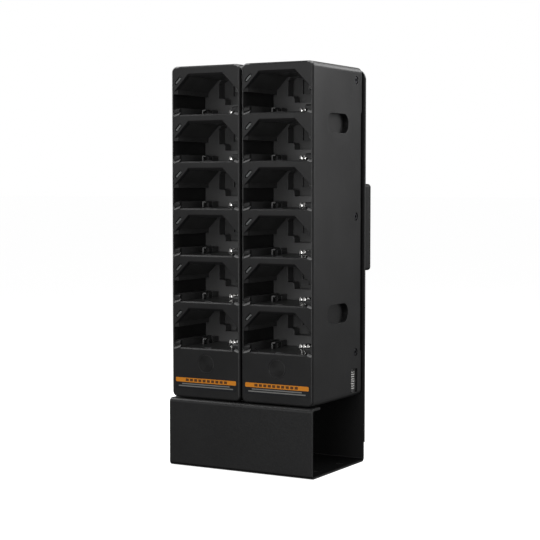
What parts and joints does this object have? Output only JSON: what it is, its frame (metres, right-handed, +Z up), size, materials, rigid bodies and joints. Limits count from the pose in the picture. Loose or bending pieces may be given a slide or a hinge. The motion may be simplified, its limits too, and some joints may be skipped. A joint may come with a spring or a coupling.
{
  "type": "multi-bay battery charger",
  "caption": "Wall-mounted charger for portable radio batteries: two upright pocket modules side by side on a bent steel bracket with an open tray below.",
  "frame": {"origin": "centre of the footprint at the underside of the tray floor", "axes": "+Z up, +X to the right seen from the front, pockets open towards -Y, wall at +Y"},
  "size_m": [0.142, 0.108, 0.345],
  "materials": {
    "housing_plastic": "fine textured charcoal",
    "pocket_plastic": "satin black",
    "latch_plastic": "satin black acetal",
    "coated_steel": "fine black powder coat",
    "bare_steel": "zinc plated",
    "dark_screw": "black oxide",
    "contact_metal": "nickel plated, bright",
    "ribbon": "amber film",
    "clear_pipe": "milky clear",
    "badge": "satin with a polished rim",
    "label": "printed film, orange above black",
    "board": "green solder mask",
    "components": "moulded packages"
  },
  "bodies": {
    "charger": {"mounting_bracket": "coated_steel", "wall_plate": "coated_steel", "standoff_channel": "coated_steel", "hanger_studs": "bare_steel", "bracket_screws": "bare_steel", "side_screws": "dark_screw", "latch_pins": "bare_steel", "latch_springs": "bare_steel", "contact_blocks": "pocket_plastic", "contact_ribbons": "ribbon", "light_pipes": "clear_pipe", "badges": "badge", "labels": "label", "power_jacks": "pocket_plastic", "link_sockets": "pocket_plastic", "link_pins": "contact_metal", "housing_left": "housing_plastic", "rear_cover_left": "housing_plastic", "charger_board_left": "board", "board_components_left": "components", "housing_right": "housing_plastic", "rear_cover_right": "housing_plastic", "charger_board_right": "board", "board_components_right": "components", "pocket_left_1": "pocket_plastic", "pocket_left_2": "pocket_plastic", "pocket_left_3": "pocket_plastic", "pocket_left_4": "pocket_plastic", "pocket_left_5": "pocket_plastic", "pocket_left_6": "pocket_plastic", "pocket_right_1": "pocket_plastic", "pocket_right_2": "pocket_plastic", "pocket_right_3": "pocket_plastic", "pocket_right_4": "pocket_plastic", "pocket_right_5": "pocket_plastic", "pocket_right_6": "pocket_plastic"},
    "latch_left_1": {"latch_left_1": "latch_plastic"},
    "contacts_left_1": {"contacts_left_1": "contact_metal"},
    "latch_left_2": {"latch_left_2": "latch_plastic"},
    "contacts_left_2": {"contacts_left_2": "contact_metal"},
    "latch_left_3": {"latch_left_3": "latch_plastic"},
    "contacts_left_3": {"contacts_left_3": "contact_metal"},
    "latch_left_4": {"latch_left_4": "latch_plastic"},
    "contacts_left_4": {"contacts_left_4": "contact_metal"},
    "latch_left_5": {"latch_left_5": "latch_plastic"},
    "contacts_left_5": {"contacts_left_5": "contact_metal"},
    "latch_left_6": {"latch_left_6": "latch_plastic"},
    "contacts_left_6": {"contacts_left_6": "contact_metal"},
    "latch_right_1": {"latch_right_1": "latch_plastic"},
    "contacts_right_1": {"contacts_right_1": "contact_metal"},
    "latch_right_2": {"latch_right_2": "latch_plastic"},
    "contacts_right_2": {"contacts_right_2": "contact_metal"},
    "latch_right_3": {"latch_right_3": "latch_plastic"},
    "contacts_right_3": {"contacts_right_3": "contact_metal"},
    "latch_right_4": {"latch_right_4": "latch_plastic"},
    "contacts_right_4": {"contacts_right_4": "contact_metal"},
    "latch_right_5": {"latch_right_5": "latch_plastic"},
    "contacts_right_5": {"contacts_right_5": "contact_metal"},
    "latch_right_6": {"latch_right_6": "latch_plastic"},
    "contacts_right_6": {"contacts_right_6": "contact_metal"}
  },
  "joints": [
    {"name": "latch_left_1_hinge", "type": "hinge", "parent": "charger", "child": "latch_left_1", "pos_m": [-0.05515, -0.01215, 0.30125], "axis": [1, 0, 0], "range_deg": [0, 17], "stiffness_Nm_per_rad": 0.004, "springref_deg": -28.65},
    {"name": "contacts_left_1_slide", "type": "slide", "parent": "charger", "child": "contacts_left_1", "axis": [0, 0, -1], "range_m": [0, 0.0012], "stiffness_N_per_m": 400, "springref_m": -0.001},
    {"name": "latch_left_2_hinge", "type": "hinge", "parent": "charger", "child": "latch_left_2", "pos_m": [-0.05515, -0.01215, 0.2611], "axis": [1, 0, 0], "range_deg": [0, 17], "stiffness_Nm_per_rad": 0.004, "springref_deg": -28.65},
    {"name": "contacts_left_2_slide", "type": "slide", "parent": "charger", "child": "contacts_left_2", "axis": [0, 0, -1], "range_m": [0, 0.0012], "stiffness_N_per_m": 400, "springref_m": -0.001},
    {"name": "latch_left_3_hinge", "type": "hinge", "parent": "charger", "child": "latch_left_3", "pos_m": [-0.05515, -0.01215, 0.22095], "axis": [1, 0, 0], "range_deg": [0, 17], "stiffness_Nm_per_rad": 0.004, "springref_deg": -28.65},
    {"name": "contacts_left_3_slide", "type": "slide", "parent": "charger", "child": "contacts_left_3", "axis": [0, 0, -1], "range_m": [0, 0.0012], "stiffness_N_per_m": 400, "springref_m": -0.001},
    {"name": "latch_left_4_hinge", "type": "hinge", "parent": "charger", "child": "latch_left_4", "pos_m": [-0.05515, -0.01215, 0.1808], "axis": [1, 0, 0], "range_deg": [0, 17], "stiffness_Nm_per_rad": 0.004, "springref_deg": -28.65},
    {"name": "contacts_left_4_slide", "type": "slide", "parent": "charger", "child": "contacts_left_4", "axis": [0, 0, -1], "range_m": [0, 0.0012], "stiffness_N_per_m": 400, "springref_m": -0.001},
    {"name": "latch_left_5_hinge", "type": "hinge", "parent": "charger", "child": "latch_left_5", "pos_m": [-0.05515, -0.01215, 0.14065], "axis": [1, 0, 0], "range_deg": [0, 17], "stiffness_Nm_per_rad": 0.004, "springref_deg": -28.65},
    {"name": "contacts_left_5_slide", "type": "slide", "parent": "charger", "child": "contacts_left_5", "axis": [0, 0, -1], "range_m": [0, 0.0012], "stiffness_N_per_m": 400, "springref_m": -0.001},
    {"name": "latch_left_6_hinge", "type": "hinge", "parent": "charger", "child": "latch_left_6", "pos_m": [-0.05515, -0.01215, 0.1005], "axis": [1, 0, 0], "range_deg": [0, 17], "stiffness_Nm_per_rad": 0.004, "springref_deg": -28.65},
    {"name": "contacts_left_6_slide", "type": "slide", "parent": "charger", "child": "contacts_left_6", "axis": [0, 0, -1], "range_m": [0, 0.0012], "stiffness_N_per_m": 400, "springref_m": -0.001},
    {"name": "latch_right_1_hinge", "type": "hinge", "parent": "charger", "child": "latch_right_1", "pos_m": [0.01485, -0.01215, 0.30125], "axis": [1, 0, 0], "range_deg": [0, 17], "stiffness_Nm_per_rad": 0.004, "springref_deg": -28.65},
    {"name": "contacts_right_1_slide", "type": "slide", "parent": "charger", "child": "contacts_right_1", "axis": [0, 0, -1], "range_m": [0, 0.0012], "stiffness_N_per_m": 400, "springref_m": -0.001},
    {"name": "latch_right_2_hinge", "type": "hinge", "parent": "charger", "child": "latch_right_2", "pos_m": [0.01485, -0.01215, 0.2611], "axis": [1, 0, 0], "range_deg": [0, 17], "stiffness_Nm_per_rad": 0.004, "springref_deg": -28.65},
    {"name": "contacts_right_2_slide", "type": "slide", "parent": "charger", "child": "contacts_right_2", "axis": [0, 0, -1], "range_m": [0, 0.0012], "stiffness_N_per_m": 400, "springref_m": -0.001},
    {"name": "latch_right_3_hinge", "type": "hinge", "parent": "charger", "child": "latch_right_3", "pos_m": [0.01485, -0.01215, 0.22095], "axis": [1, 0, 0], "range_deg": [0, 17], "stiffness_Nm_per_rad": 0.004, "springref_deg": -28.65},
    {"name": "contacts_right_3_slide", "type": "slide", "parent": "charger", "child": "contacts_right_3", "axis": [0, 0, -1], "range_m": [0, 0.0012], "stiffness_N_per_m": 400, "springref_m": -0.001},
    {"name": "latch_right_4_hinge", "type": "hinge", "parent": "charger", "child": "latch_right_4", "pos_m": [0.01485, -0.01215, 0.1808], "axis": [1, 0, 0], "range_deg": [0, 17], "stiffness_Nm_per_rad": 0.004, "springref_deg": -28.65},
    {"name": "contacts_right_4_slide", "type": "slide", "parent": "charger", "child": "contacts_right_4", "axis": [0, 0, -1], "range_m": [0, 0.0012], "stiffness_N_per_m": 400, "springref_m": -0.001},
    {"name": "latch_right_5_hinge", "type": "hinge", "parent": "charger", "child": "latch_right_5", "pos_m": [0.01485, -0.01215, 0.14065], "axis": [1, 0, 0], "range_deg": [0, 17], "stiffness_Nm_per_rad": 0.004, "springref_deg": -28.65},
    {"name": "contacts_right_5_slide", "type": "slide", "parent": "charger", "child": "contacts_right_5", "axis": [0, 0, -1], "range_m": [0, 0.0012], "stiffness_N_per_m": 400, "springref_m": -0.001},
    {"name": "latch_right_6_hinge", "type": "hinge", "parent": "charger", "child": "latch_right_6", "pos_m": [0.01485, -0.01215, 0.1005], "axis": [1, 0, 0], "range_deg": [0, 17], "stiffness_Nm_per_rad": 0.004, "springref_deg": -28.65},
    {"name": "contacts_right_6_slide", "type": "slide", "parent": "charger", "child": "contacts_right_6", "axis": [0, 0, -1], "range_m": [0, 0.0012], "stiffness_N_per_m": 400, "springref_m": -0.001}
  ]
}
